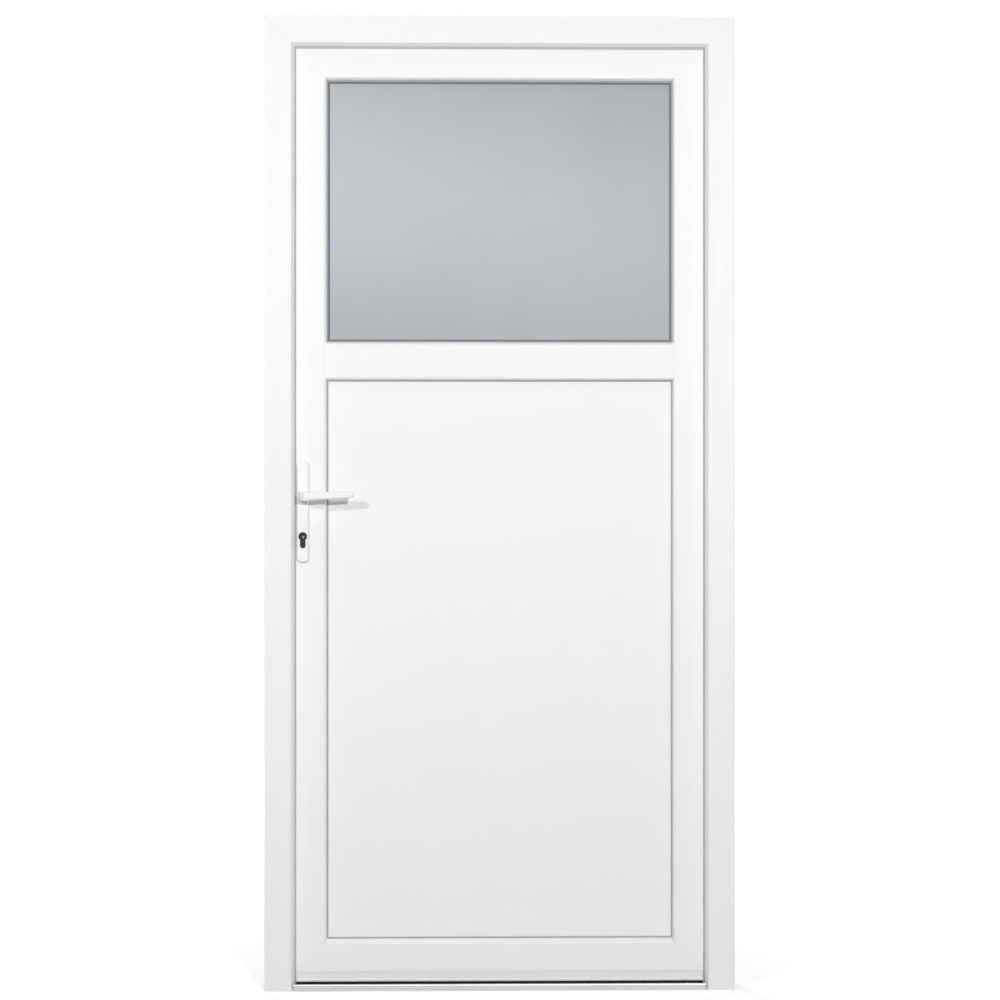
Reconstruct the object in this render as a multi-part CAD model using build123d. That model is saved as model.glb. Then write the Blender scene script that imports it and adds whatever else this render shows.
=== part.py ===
from build123d import *
import os

# Half-glazed exterior door in white plastic profiles: a three-sided frame on a low threshold,
# and a leaf that swings inwards on three hinges, with a lever handle on each side.
# Sizes are in millimetres. Seen from outside, x runs to the right, y runs inwards and z is up.
# The origin is on the floor, at the middle of the threshold and of the frame's depth.

# Frame, overall
FRAME_WIDTH = 1000.0
FRAME_HEIGHT = 2070.0
FRAME_DEPTH = 70.0

# Frame section, widths measured inwards from the wall
FRAME_FACE = 56.5
FRAME_TIP = 62.0
FRAME_REBATE = 42.0
UPSTAND_DEPTH = 18.0
FRAME_BEVEL_DEPTH = 10.0
EDGE_RADIUS = 1.2
WALL_GROOVE_WIDTH = 10.0
WALL_GROOVE_DEPTH = 4.0
WALL_GROOVE_SPACING = 36.0

# Leaf section
LEAF_DEPTH = 70.0
LEAF_PROFILE = 76.0
SEAL_GAP = 5.0
EDGE_GAP = 12.0
FLANGE_OVERLAP = 8.0
LIP_BEVEL = 4.0
LIP_BEVEL_DEPTH = 5.0
LIP_DEPTH = 12.0
GLAZING_REBATE = 21.0
GROOVE_WIDTH = 16.0
GROOVE_DEPTH = 3.0
GROOVE_SETBACK = 24.0

# Heights in the leaf
LEAF_BOTTOM = 36.0
BOTTOM_RAIL_FACE = 59.0
SILL_RISE = 5.5
SILL_DEPTH = 10.0
MID_RAIL_FACE = 71.5
MID_RAIL_HEIGHT = 1339.0

# Glass, panel, beads and seals
INFILL = 24.0
PANE = 4.0
INFILL_EDGE_GAP = 5.0
SPACER_WIDTH = 23.0
GASKET = 3.0
GASKET_SHOW = 3.0
BEAD_FLAT = 10.0
BEAD_NOSE = 9.0
SEAL_CLEARANCE = 0.3
SEAL_SHOW = 3.5
SEAL_FOOT = 7.0
SEAL_LIP = 1.6
SEAL_INSET = 1.0

# Threshold and the seal under the leaf
THRESHOLD_PLATE = 4.5
TREAD_TOP = 7.5
TREAD_GROOVE = 2.0
TREAD_GROOVE_DEPTH = 1.0
TREAD_GROOVE_PITCH = 6.0
NOSE_HEIGHT = 14.5
NOSE_DEPTH = 6.0
NOSE_CREST = 0.4
REAR_RIB = 4.0
CARRIER_BOTTOM = 15.0
CARRIER_SETBACK = 2.5
CARRIER_LIP_HEIGHT = 6.5
CARRIER_LIP = 2.0
BRUSH_SETBACK = 10.0
BRUSH_WIDTH = 6.0
BRUSH_ROOT = 3.0

# Handles and lock
BACKSET = 26.5
SPINDLE_HEIGHT = 1050.0
LOCK_CENTRES = 85.0
PLATE_WIDTH = 25.0
PLATE_LENGTH = 216.0
PLATE_ABOVE_SPINDLE = 76.0
PLATE_THICKNESS = 10.0
PLATE_CORNER = 10.0
PLATE_EDGE = 2.5
SPINDLE = 8.0
SPINDLE_SOCKET = 12.0
SPINDLE_BORE = 18.0
NECK_RADIUS = 8.0
NECK_CLEARANCE = 0.1
NECK_START = 1.0
LEVER_REACH = 55.0
LEVER_COLLAR = 5.0
LEVER_OUTER_BEND = 22.0
LEVER_INNER_BEND = 10.0
LEVER_LENGTH = 111.0
GRIP_HEIGHT = 19.0
GRIP_THICKNESS = 12.0
GRIP_END_HEIGHT = 12.0
GRIP_EDGE = 4.5
GRIP_TIP_EDGE = 2.0
CYLINDER_DIAMETER = 17.0
CYLINDER_HEIGHT = 33.0
CYLINDER_STEM = 10.0
CYLINDER_PROUD = 3.1
CYLINDER_CLEARANCE = 0.25
PLATE_CUTOUT = 0.8
PLUG_DIAMETER = 13.0
PLUG_PROUD = 0.6
KEYWAY_WIDTH = 1.6
KEYWAY_HEIGHT = 9.0
KEYWAY_DEPTH = 4.0

# Bolts, faceplate and the plates that receive them
FACEPLATE_BOTTOM = 180.0
FACEPLATE_BELOW_TOP = 170.0
LATCH_ABOVE_SPINDLE = 52.0
BOLT_WIDTH = 12.0
LATCH_HEIGHT = 30.0
DEAD_BOLT_HEIGHT = 36.0
BOLT_PROUD = 2.5
BOLT_CLEARANCE = 0.3
LATCH_SLOPE_WIDTH = 9.6
LATCH_SLOPE_HEIGHT = 2.0
STRIKE_THICKNESS = 3.0
STRIKE_WIDTH = 26.0
STRIKE_MARGIN = 24.0
STRIKE_POCKET = 14.0
STRIKE_PLAY = 2.0
KEEP_LENGTH = 110.0
KEEP_SLOT = 46.0
UPPER_KEEP_BELOW_TOP = 370.0
LOWER_KEEP_HEIGHT = 380.0

# Hinges
LOWER_HINGE_HEIGHT = 250.0
UPPER_HINGE_BELOW_TOP = 240.0
HINGE_LENGTH = 100.0
HINGE_KNUCKLE = 9.0
HINGE_PIN = 5.0
HINGE_PIN_CLEARANCE = 0.1
HINGE_END_KNUCKLE = 29.0
HINGE_GAP = 1.0
HINGE_INSET = 22.0
HINGE_RISE = 8.0
HINGE_PLATE = 4.0
HINGE_FRAME_PLATE_EDGE = 3.0
HINGE_FRAME_PLATE_WIDTH = 25.0
HINGE_LEAF_PLATE_WIDTH = 40.0
HINGE_WEB = 12.0
HINGE_CAP = 3.0

# Depths: outside is negative
FRAME_OUT = -FRAME_DEPTH / 2
FRAME_IN = FRAME_DEPTH / 2
UPSTAND_BACK = FRAME_OUT + UPSTAND_DEPTH
LEAF_OUT = UPSTAND_BACK + SEAL_GAP
LEAF_IN = LEAF_OUT + LEAF_DEPTH
FLANGE_OUT = FRAME_IN + SEAL_GAP
LIP_BACK = LEAF_OUT + LIP_DEPTH
INFILL_OUT = LIP_BACK + GASKET
INFILL_IN = INFILL_OUT + INFILL
BEAD_OUT = INFILL_IN + GASKET
GROOVE_OUT = LEAF_OUT + GROOVE_SETBACK
GROOVE_IN = GROOVE_OUT + GROOVE_WIDTH
GROOVE_MIDDLE = GROOVE_OUT + GROOVE_WIDTH / 2

# Widths inwards from the wall, the same on both sides and at the head
LEAF_EDGE = FRAME_REBATE + EDGE_GAP
FLANGE_EDGE = FRAME_REBATE - FLANGE_OVERLAP
LIP_END = LEAF_EDGE + LEAF_PROFILE
LIP_FACE = LIP_END - LIP_BEVEL
REBATE_FLOOR = LIP_END - GLAZING_REBATE
GROOVE_FLOOR = LEAF_EDGE + GROOVE_DEPTH

# Places worked out from the sizes above
HALF_WIDTH = FRAME_WIDTH / 2
LIP_BOTTOM = LEAF_BOTTOM + BOTTOM_RAIL_FACE + LIP_BEVEL
BOTTOM_LINE = LIP_BOTTOM - LIP_END
SILL_TOP = LIP_BOTTOM + SILL_RISE
MID_RAIL_HALF = MID_RAIL_FACE / 2 + LIP_BEVEL
SPINDLE_X = -HALF_WIDTH + LEAF_EDGE + BACKSET
CYLINDER_Z = SPINDLE_HEIGHT - LOCK_CENTRES
LATCH_Z = SPINDLE_HEIGHT + LATCH_ABOVE_SPINDLE
HINGE_X = HALF_WIDTH - HINGE_INSET
HINGE_Y = LEAF_IN + HINGE_RISE


# Shared shapes

def section(*corners):
    """A closed outline of (inward, depth) corners, each with an optional corner radius."""
    face = make_face(Polyline([corner[:2] for corner in corners], close=True))
    for corner in corners:
        if len(corner) == 3:
            face = fillet(face.vertices().sort_by_distance(corner[:2])[0], corner[2])
    return face


def block(x_range, y_range, z_range):
    """A box between two values of each of x, y and z."""
    ends = (x_range, y_range, z_range)
    middle = Pos(*[(low + high) / 2 for low, high in ends])
    return middle * Box(*[high - low for low, high in ends])


def sides(left, bottom, right, top):
    """The sides of an upright rectangle: first corner, running direction, inward direction, length."""
    up, across = Vector(0, 0, 1), Vector(1, 0, 0)
    return {
        "left": (Vector(left, 0, bottom), up, across, top - bottom),
        "top": (Vector(left, 0, top), across, -up, right - left),
        "right": (Vector(right, 0, top), -up, -across, top - bottom),
        "bottom": (Vector(right, 0, bottom), -across, up, right - left),
    }


def bar(outline, side, mitre_start=True, mitre_end=True):
    """Run a section along one side of a rectangle and cut its ends at 45 degrees."""
    corner, along, inward, length = side
    solid = extrude(Plane(origin=corner, x_dir=inward, z_dir=along) * outline, length)
    if mitre_start:
        solid = split(solid, Plane(origin=corner, z_dir=along - inward), keep=Keep.TOP)
    if mitre_end:
        end = corner + along * length
        solid = split(solid, Plane(origin=end, z_dir=-along - inward), keep=Keep.TOP)
    return solid


def crossing(outline, half):
    """Run a section of (depth, height) corners across the door, to the same distance each side."""
    start = Plane(origin=(-half, 0, 0), x_dir=(0, 1, 0), z_dir=(1, 0, 0))
    return extrude(start * outline, 2 * half)


def grow(rectangle, amount):
    """The same upright rectangle, larger by an amount on every side."""
    left, bottom, right, top = rectangle
    return left - amount, bottom - amount, right + amount, top + amount


def sheet(rectangle, y_range):
    """A flat sheet that fills an upright rectangle."""
    left, bottom, right, top = rectangle
    return block((left, right), y_range, (bottom, top))


def depth_plane(x, y, z):
    """An upright plane at depth y whose normal points outwards, with its own x to the right."""
    return Plane(origin=(x, y, z), x_dir=(1, 0, 0), z_dir=(0, -1, 0))


# Frame: two jambs down to the floor and a head, of one section, mitred at the top corners

def frame_section():
    groove_ends = []
    for middle in (WALL_GROOVE_SPACING / 2, -WALL_GROOVE_SPACING / 2):
        high = middle + WALL_GROOVE_WIDTH / 2
        low = middle - WALL_GROOVE_WIDTH / 2
        groove_ends += [(0, high), (WALL_GROOVE_DEPTH, high), (WALL_GROOVE_DEPTH, low), (0, low)]
    return section(
        (0, FRAME_OUT),
        (FRAME_FACE, FRAME_OUT, EDGE_RADIUS),
        (FRAME_TIP, FRAME_OUT + FRAME_BEVEL_DEPTH, EDGE_RADIUS),
        (FRAME_TIP, UPSTAND_BACK),
        (FRAME_REBATE, UPSTAND_BACK),
        (FRAME_REBATE, FRAME_IN, EDGE_RADIUS),
        (0, FRAME_IN),
        *groove_ends,
    )


def frame_seal():
    """The rubber seal on the back of the upstand, one run round both jambs and the head."""
    lip_face = LEAF_OUT - SEAL_CLEARANCE
    outline = section(
        (FRAME_TIP - SEAL_FOOT, UPSTAND_BACK),
        (FRAME_TIP, UPSTAND_BACK),
        (FRAME_TIP + SEAL_SHOW, lip_face - SEAL_LIP),
        (FRAME_TIP + SEAL_SHOW, lip_face),
        (FRAME_TIP - SEAL_FOOT / 2, lip_face),
    )
    left = bar(outline, frame_sides["left"], mitre_start=False)
    right = bar(outline, frame_sides["right"], mitre_end=False)
    run = left + bar(outline, frame_sides["top"]) + right
    return split(run, Plane(origin=(0, 0, TREAD_TOP), z_dir=(0, 0, 1)), keep=Keep.TOP)


frame_sides = sides(-HALF_WIDTH, 0, HALF_WIDTH, FRAME_HEIGHT)
lock_jamb = bar(frame_section(), frame_sides["left"], mitre_start=False)
hinge_jamb = bar(frame_section(), frame_sides["right"], mitre_end=False)
frame_head = bar(frame_section(), frame_sides["top"])


# Threshold: an aluminium base with a rounded nose, and a ribbed black tread set into it

def trim_at_upstands(solid):
    """Cut a run that lies between the rebates back to the tips of the upstands, in front of their backs."""
    tip = HALF_WIDTH - FRAME_TIP
    for x_range in ((-HALF_WIDTH, -tip), (tip, HALF_WIDTH)):
        solid -= block(x_range, (FRAME_OUT, UPSTAND_BACK), (0, NOSE_HEIGHT))
    return solid


def threshold_base():
    nose_round = (NOSE_DEPTH - NOSE_CREST) / 2
    outline = section(
        (FRAME_OUT, 0),
        (FRAME_OUT, NOSE_HEIGHT, nose_round),
        (FRAME_OUT + NOSE_DEPTH, NOSE_HEIGHT, nose_round),
        (FRAME_OUT + NOSE_DEPTH, THRESHOLD_PLATE),
        (FRAME_IN - REAR_RIB, THRESHOLD_PLATE),
        (FRAME_IN - REAR_RIB, TREAD_TOP),
        (FRAME_IN, TREAD_TOP, EDGE_RADIUS),
        (FRAME_IN, 0),
    )
    return trim_at_upstands(crossing(outline, HALF_WIDTH - FRAME_REBATE))


def threshold_tread():
    half = HALF_WIDTH - FRAME_REBATE
    front = FRAME_OUT + NOSE_DEPTH
    back = FRAME_IN - REAR_RIB
    tread = block((-half, half), (front, back), (THRESHOLD_PLATE, TREAD_TOP))
    count = int((back - front) / TREAD_GROOVE_PITCH)
    for index in range(1, count):
        y = front + index * TREAD_GROOVE_PITCH
        cut_depth = (TREAD_TOP - TREAD_GROOVE_DEPTH, TREAD_TOP)
        tread -= block((-half, half), (y, y + TREAD_GROOVE), cut_depth)
    return trim_at_upstands(tread)


# Leaf: stiles and rails of one mitred section, trimmed level at the bottom

def leaf_section():
    return section(
        (LEAF_EDGE, LEAF_OUT, EDGE_RADIUS),
        (LIP_FACE, LEAF_OUT, EDGE_RADIUS),
        (LIP_END, LEAF_OUT + LIP_BEVEL_DEPTH, EDGE_RADIUS),
        (LIP_END, LIP_BACK),
        (REBATE_FLOOR, LIP_BACK),
        (REBATE_FLOOR, LEAF_IN),
        (FLANGE_EDGE, LEAF_IN, EDGE_RADIUS),
        (FLANGE_EDGE, FLANGE_OUT, EDGE_RADIUS),
        (LEAF_EDGE, FLANGE_OUT),
        (LEAF_EDGE, GROOVE_IN),
        (GROOVE_FLOOR, GROOVE_IN),
        (GROOVE_FLOOR, GROOVE_OUT),
        (LEAF_EDGE, GROOVE_OUT),
    )


def trim_bottom(solid):
    return split(solid, Plane(origin=(0, 0, LEAF_BOTTOM), z_dir=(0, 0, 1)), keep=Keep.TOP)


def mid_rail():
    """A T-section rail: its outer lip is let into the stiles' lips, its web butts between them."""
    half_face = MID_RAIL_FACE / 2
    web = MID_RAIL_HALF - GLAZING_REBATE
    lip_outline = section(
        (-MID_RAIL_HALF, LIP_BACK),
        (-MID_RAIL_HALF, LEAF_OUT + LIP_BEVEL_DEPTH, EDGE_RADIUS),
        (-half_face, LEAF_OUT, EDGE_RADIUS),
        (half_face, LEAF_OUT, EDGE_RADIUS),
        (MID_RAIL_HALF, LEAF_OUT + LIP_BEVEL_DEPTH, EDGE_RADIUS),
        (MID_RAIL_HALF, LIP_BACK),
    )
    face_end = HALF_WIDTH - LIP_FACE
    lip_end = HALF_WIDTH - LIP_END
    start = Plane(origin=(-face_end, 0, MID_RAIL_HEIGHT), x_dir=(0, 0, -1), z_dir=(1, 0, 0))
    lip = extrude(start * lip_outline, 2 * face_end)
    front_view = section(
        (-face_end, -half_face),
        (-lip_end, -MID_RAIL_HALF),
        (lip_end, -MID_RAIL_HALF),
        (face_end, -half_face),
        (face_end, half_face),
        (lip_end, MID_RAIL_HALF),
        (-lip_end, MID_RAIL_HALF),
        (-face_end, half_face),
    )
    lip &= extrude(depth_plane(0, LIP_BACK, MID_RAIL_HEIGHT) * front_view, LIP_DEPTH)
    web_end = HALF_WIDTH - REBATE_FLOOR
    heights = (MID_RAIL_HEIGHT - web, MID_RAIL_HEIGHT + web)
    return lip + block((-web_end, web_end), (LIP_BACK, LEAF_IN), heights)


def bottom_rail():
    """The leaf's bottom bar with a sloping sill below the panel and a higher rebate floor behind it."""
    face_top = LIP_BOTTOM - LIP_BEVEL
    root = face_top - 2 * EDGE_RADIUS
    slope = section(
        (LEAF_OUT, root),
        (LEAF_OUT, face_top, EDGE_RADIUS),
        (LEAF_OUT + SILL_DEPTH, SILL_TOP, EDGE_RADIUS),
        (LIP_BACK, SILL_TOP),
        (LIP_BACK, root),
    )
    half = HALF_WIDTH - LIP_END
    rail = leaf_bars["bottom"] - block((-half, half), (LEAF_OUT, LIP_BACK), (root, LIP_BOTTOM))
    rail += crossing(slope, half)
    floor_half = HALF_WIDTH - REBATE_FLOOR
    floor = LIP_BOTTOM - GLAZING_REBATE
    return rail + block((-floor_half, floor_half), (LIP_BACK, LEAF_IN), (floor, floor + SILL_RISE))


def leaf_seal():
    """The rubber seal on the leaf's inner flange, which closes against the frame's inner face."""
    outline = section(
        (FLANGE_EDGE + SEAL_INSET, FLANGE_OUT),
        (FLANGE_EDGE + SEAL_FOOT, FLANGE_OUT),
        (FLANGE_EDGE + SEAL_FOOT / 2, FRAME_IN + SEAL_CLEARANCE),
        (FLANGE_EDGE + SEAL_INSET, FRAME_IN + SEAL_CLEARANCE),
    )
    run = bar(outline, leaf_sides["left"])
    for name in ("top", "right"):
        run += bar(outline, leaf_sides[name])
    return trim_bottom(run)


leaf_sides = sides(-HALF_WIDTH, BOTTOM_LINE, HALF_WIDTH, FRAME_HEIGHT)
middle_rail = mid_rail()
leaf_bars = {name: trim_bottom(bar(leaf_section(), side)) for name, side in leaf_sides.items()}
lock_stile = leaf_bars["left"] - middle_rail
hinge_stile = leaf_bars["right"] - middle_rail


# Seal carrier and brush under the leaf

def brush_range():
    return LEAF_OUT + BRUSH_SETBACK, LEAF_OUT + BRUSH_SETBACK + BRUSH_WIDTH


def seal_carrier():
    front = LEAF_OUT + CARRIER_SETBACK
    lip_top = CARRIER_BOTTOM + CARRIER_LIP_HEIGHT
    outline = section(
        (front, LEAF_BOTTOM),
        (front, lip_top),
        (front - CARRIER_LIP, lip_top - CARRIER_LIP),
        (front - CARRIER_LIP, CARRIER_BOTTOM, EDGE_RADIUS),
        (FLANGE_OUT, CARRIER_BOTTOM),
        (FLANGE_OUT, LEAF_BOTTOM),
    )
    half = HALF_WIDTH - LEAF_EDGE
    groove = block((-half, half), brush_range(), (CARRIER_BOTTOM, CARRIER_BOTTOM + BRUSH_ROOT))
    return crossing(outline, half) - groove


def bottom_brush():
    half = HALF_WIDTH - LEAF_EDGE
    heights = (TREAD_TOP + SEAL_CLEARANCE, CARRIER_BOTTOM + BRUSH_ROOT)
    return block((-half, half), brush_range(), heights)


# Glass, panel, gaskets and glazing beads, for one opening of the leaf

def gasket_ring(opening, y_range):
    outer = sheet(grow(opening, GLAZING_REBATE - INFILL_EDGE_GAP / 2), y_range)
    return outer - sheet(grow(opening, -GASKET_SHOW), y_range)


def beads(opening):
    outline = section(
        (0, BEAD_OUT),
        (GLAZING_REBATE, BEAD_OUT),
        (GLAZING_REBATE, BEAD_OUT + BEAD_NOSE, EDGE_RADIUS),
        (BEAD_FLAT, LEAF_IN, EDGE_RADIUS),
        (0, LEAF_IN),
    )
    floor = sides(*grow(opening, GLAZING_REBATE))
    return {name: bar(outline, side) for name, side in floor.items()}


half_opening = HALF_WIDTH - LIP_END
glass_opening = (-half_opening, MID_RAIL_HEIGHT + MID_RAIL_HALF, half_opening, FRAME_HEIGHT - LIP_END)
panel_opening = (-half_opening, SILL_TOP, half_opening, MID_RAIL_HEIGHT - MID_RAIL_HALF)
glass_edge = grow(glass_opening, GLAZING_REBATE - INFILL_EDGE_GAP)
panel_edge = grow(panel_opening, GLAZING_REBATE - INFILL_EDGE_GAP)


# Lock cylinder and lever handles

def cylinder_outline(clearance=0.0):
    """The keyhole outline of a profile cylinder: a round barrel over a narrower round-ended stem."""
    barrel = Circle(CYLINDER_DIAMETER / 2 + clearance)
    stem_half = CYLINDER_STEM / 2
    stem_end = CYLINDER_DIAMETER / 2 + stem_half - CYLINDER_HEIGHT
    stem = Pos(0, stem_end / 2) * Rectangle(CYLINDER_STEM + 2 * clearance, -stem_end)
    return barrel + stem + Pos(0, stem_end) * Circle(stem_half + clearance)


def cylinder_prism(y_range, clearance=0.0):
    start = depth_plane(SPINDLE_X, y_range[1], CYLINDER_Z)
    return extrude(start * cylinder_outline(clearance), y_range[1] - y_range[0])


def lock_cylinder():
    proud = PLATE_THICKNESS + CYLINDER_PROUD
    y_range = (LEAF_OUT - proud, LEAF_IN + proud)
    body = cylinder_prism((y_range[0] + PLUG_PROUD, y_range[1] - PLUG_PROUD))
    plug_plane = depth_plane(SPINDLE_X, y_range[1], CYLINDER_Z)
    body += extrude(plug_plane * Circle(PLUG_DIAMETER / 2), y_range[1] - y_range[0])
    half = KEYWAY_WIDTH / 2
    for face, deep in ((y_range[0], KEYWAY_DEPTH), (y_range[1], -KEYWAY_DEPTH)):
        slot_depth = tuple(sorted((face, face + deep)))
        heights = (CYLINDER_Z - KEYWAY_HEIGHT / 2, CYLINDER_Z + KEYWAY_HEIGHT / 2)
        body -= block((SPINDLE_X - half, SPINDLE_X + half), slot_depth, heights)
    return body


def spindle_bore(radius):
    """A round bore along the spindle, through the leaf and both handle plates."""
    length = LEAF_DEPTH + 2 * PLATE_THICKNESS
    start = depth_plane(SPINDLE_X, LEAF_IN + PLATE_THICKNESS, SPINDLE_HEIGHT)
    return extrude(start * Circle(radius), length)


def handle_plate(face, outward):
    """A long narrow plate on one face of the leaf; outward is -1 outside and 1 inside."""
    middle = SPINDLE_HEIGHT + PLATE_ABOVE_SPINDLE - PLATE_LENGTH / 2
    start = Plane(origin=(SPINDLE_X, face, middle), x_dir=(-outward, 0, 0), z_dir=(0, outward, 0))
    plate = extrude(start * RectangleRounded(PLATE_WIDTH, PLATE_LENGTH, PLATE_CORNER), PLATE_THICKNESS)
    front = plate.faces().filter_by(Axis.Y).sort_by(Axis.Y)[0 if outward < 0 else -1]
    plate = chamfer(front.edges(), PLATE_EDGE)
    plate -= spindle_bore(NECK_RADIUS + NECK_CLEARANCE)
    y_range = tuple(sorted((face, face + outward * PLATE_THICKNESS)))
    return plate - cylinder_prism(y_range, PLATE_CUTOUT)


def lever(face, outward):
    """A round collar, an arm that bends along the leaf, and a grip that thins from below to its tip."""
    low = PLATE_THICKNESS + LEVER_COLLAR
    grip_back = LEVER_REACH - GRIP_THICKNESS
    plan = section(
        (-NECK_RADIUS, low),
        (-NECK_RADIUS, LEVER_REACH, LEVER_OUTER_BEND),
        (LEVER_LENGTH, LEVER_REACH),
        (LEVER_LENGTH, grip_back),
        (NECK_RADIUS, grip_back, LEVER_INNER_BEND),
        (NECK_RADIUS, low),
    )
    half_height = GRIP_HEIGHT / 2
    front = section(
        (-NECK_RADIUS, -half_height),
        (NECK_RADIUS, -half_height),
        (LEVER_LENGTH, half_height - GRIP_END_HEIGHT),
        (LEVER_LENGTH, half_height),
        (-NECK_RADIUS, half_height),
    )
    arm = extrude(plan, half_height, both=True)
    arm &= extrude(Plane.XZ * front, -LEVER_REACH)
    middles = [(edge, edge @ 0.5) for edge in arm.edges().filter_by(Axis.Z, reverse=True)]
    outer = [edge for edge, middle in middles if middle.X < 0 or middle.Y > LEVER_REACH - GRIP_EDGE]
    arm = fillet(outer, GRIP_EDGE)
    arm = chamfer(arm.faces().sort_by(Axis.X)[-1].edges(), GRIP_TIP_EDGE)
    neck = Plane.XZ.offset(-NECK_START) * Circle(NECK_RADIUS)
    arm += extrude(neck, NECK_START - low)
    if outward < 0:
        arm = mirror(arm, Plane.XZ)
    return Pos(SPINDLE_X, face, SPINDLE_HEIGHT) * arm - spindle_bar()


def spindle_bar():
    half = SPINDLE / 2
    end = NECK_START + SPINDLE_SOCKET
    heights = (SPINDLE_HEIGHT - half, SPINDLE_HEIGHT + half)
    return block((SPINDLE_X - half, SPINDLE_X + half), (LEAF_OUT - end, LEAF_IN + end), heights)


stile_bores = spindle_bore(SPINDLE_BORE / 2) + cylinder_prism((LEAF_OUT, LEAF_IN), CYLINDER_CLEARANCE)
lock_stile -= stile_bores


# Lock faceplate and bolts in the stile's edge, strike plate and keeps on the jamb

def bolt_box(z, height, u_range, play=0.0):
    """A box round a bolt, from one distance to another inwards from the lock side's wall."""
    half_width = BOLT_WIDTH / 2 + play
    half_height = height / 2 + play
    x_range = (-HALF_WIDTH + u_range[0], -HALF_WIDTH + u_range[1])
    y_range = (GROOVE_MIDDLE - half_width, GROOVE_MIDDLE + half_width)
    return block(x_range, y_range, (z - half_height, z + half_height))


def lock_faceplate():
    x_range = (-HALF_WIDTH + LEAF_EDGE, -HALF_WIDTH + GROOVE_FLOOR)
    plate = block(x_range, (GROOVE_OUT, GROOVE_IN), (FACEPLATE_BOTTOM, FRAME_HEIGHT - FACEPLATE_BELOW_TOP))
    for z, height in ((LATCH_Z, LATCH_HEIGHT), (CYLINDER_Z, DEAD_BOLT_HEIGHT)):
        plate -= bolt_box(z, height, (LEAF_EDGE, GROOVE_FLOOR), BOLT_CLEARANCE)
    return plate


def latch_bolt():
    """The spring latch, drawn back until only the foot of its slope stands out of the faceplate."""
    bolt = bolt_box(LATCH_Z, LATCH_HEIGHT, (LEAF_EDGE - BOLT_PROUD, GROOVE_FLOOR))
    nose = bolt.faces().sort_by(Axis.X)[0]
    outer_edge = nose.edges().filter_by(Axis.Z).sort_by(Axis.Y)[0]
    return chamfer(outer_edge, LATCH_SLOPE_WIDTH, LATCH_SLOPE_HEIGHT, reference=nose)


def dead_bolt():
    bolt = bolt_box(CYLINDER_Z, DEAD_BOLT_HEIGHT, (LEAF_EDGE - BOLT_PROUD, GROOVE_FLOOR))
    nose = bolt.faces().sort_by(Axis.X)[0]
    return fillet(nose.edges(), EDGE_RADIUS)


def jamb_plate(bottom, top):
    x_range = (-HALF_WIDTH + FRAME_REBATE, -HALF_WIDTH + FRAME_REBATE + STRIKE_THICKNESS)
    half = STRIKE_WIDTH / 2
    return block(x_range, (GROOVE_MIDDLE - half, GROOVE_MIDDLE + half), (bottom, top))


strike_depth = (FRAME_REBATE - STRIKE_POCKET, FRAME_REBATE + STRIKE_THICKNESS)
bolt_pockets = bolt_box(LATCH_Z, LATCH_HEIGHT, strike_depth, STRIKE_PLAY)
bolt_pockets += bolt_box(CYLINDER_Z, DEAD_BOLT_HEIGHT, strike_depth, STRIKE_PLAY)
strike_plate = jamb_plate(
    CYLINDER_Z - DEAD_BOLT_HEIGHT / 2 - STRIKE_MARGIN,
    LATCH_Z + LATCH_HEIGHT / 2 + STRIKE_MARGIN,
)
keep_plates = []
for keep_z in (LOWER_KEEP_HEIGHT, FRAME_HEIGHT - UPPER_KEEP_BELOW_TOP):
    keep = jamb_plate(keep_z - KEEP_LENGTH / 2, keep_z + KEEP_LENGTH / 2)
    keep_pocket = bolt_box(keep_z, KEEP_SLOT, strike_depth)
    keep_plates.append(keep - keep_pocket)
    bolt_pockets += keep_pocket
lock_jamb -= bolt_pockets
strike_plate -= bolt_pockets
keeps = Compound(children=[plate.solid() for plate in keep_plates])


# Hinges: a frame half with two knuckles and the pin, and a leaf half with the middle knuckle

def upright_rod(radius, z_range):
    low, high = z_range
    return Pos(HINGE_X, HINGE_Y, (low + high) / 2) * Cylinder(radius, high - low)


def hinge_frame_half(z):
    low, high = z - HINGE_LENGTH / 2, z + HINGE_LENGTH / 2
    outer_x = HALF_WIDTH - HINGE_FRAME_PLATE_EDGE
    inner_x = outer_x - HINGE_FRAME_PLATE_WIDTH
    half = block((inner_x, outer_x), (FRAME_IN, FRAME_IN + HINGE_PLATE), (low, high))
    half = fillet(half.edges().filter_by(Axis.Y).sort_by(Axis.X)[-2:], HINGE_PLATE)
    for z_range in ((low, low + HINGE_END_KNUCKLE), (high - HINGE_END_KNUCKLE, high)):
        web_x = (HINGE_X - HINGE_WEB / 2, HINGE_X + HINGE_WEB / 2)
        half += block(web_x, (FRAME_IN + HINGE_PLATE, HINGE_Y), z_range)
        half += upright_rod(HINGE_KNUCKLE, z_range)
    return half + upright_rod(HINGE_PIN, (low - HINGE_CAP, high + HINGE_CAP))


def hinge_leaf_half(z):
    low, high = z - HINGE_LENGTH / 2, z + HINGE_LENGTH / 2
    knuckle_range = (low + HINGE_END_KNUCKLE + HINGE_GAP, high - HINGE_END_KNUCKLE - HINGE_GAP)
    edge = HALF_WIDTH - FLANGE_EDGE - EDGE_RADIUS * 2
    half = block((edge - HINGE_LEAF_PLATE_WIDTH, edge), (LEAF_IN, LEAF_IN + HINGE_PLATE), (low, high))
    half = fillet(half.edges().filter_by(Axis.Y).sort_by(Axis.X)[:2], HINGE_PLATE)
    half += block((edge - HINGE_PLATE, HINGE_X), (LEAF_IN, HINGE_Y), knuckle_range)
    half += upright_rod(HINGE_KNUCKLE, knuckle_range)
    return half - upright_rod(HINGE_PIN + HINGE_PIN_CLEARANCE, knuckle_range)


# All the pieces by name

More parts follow.
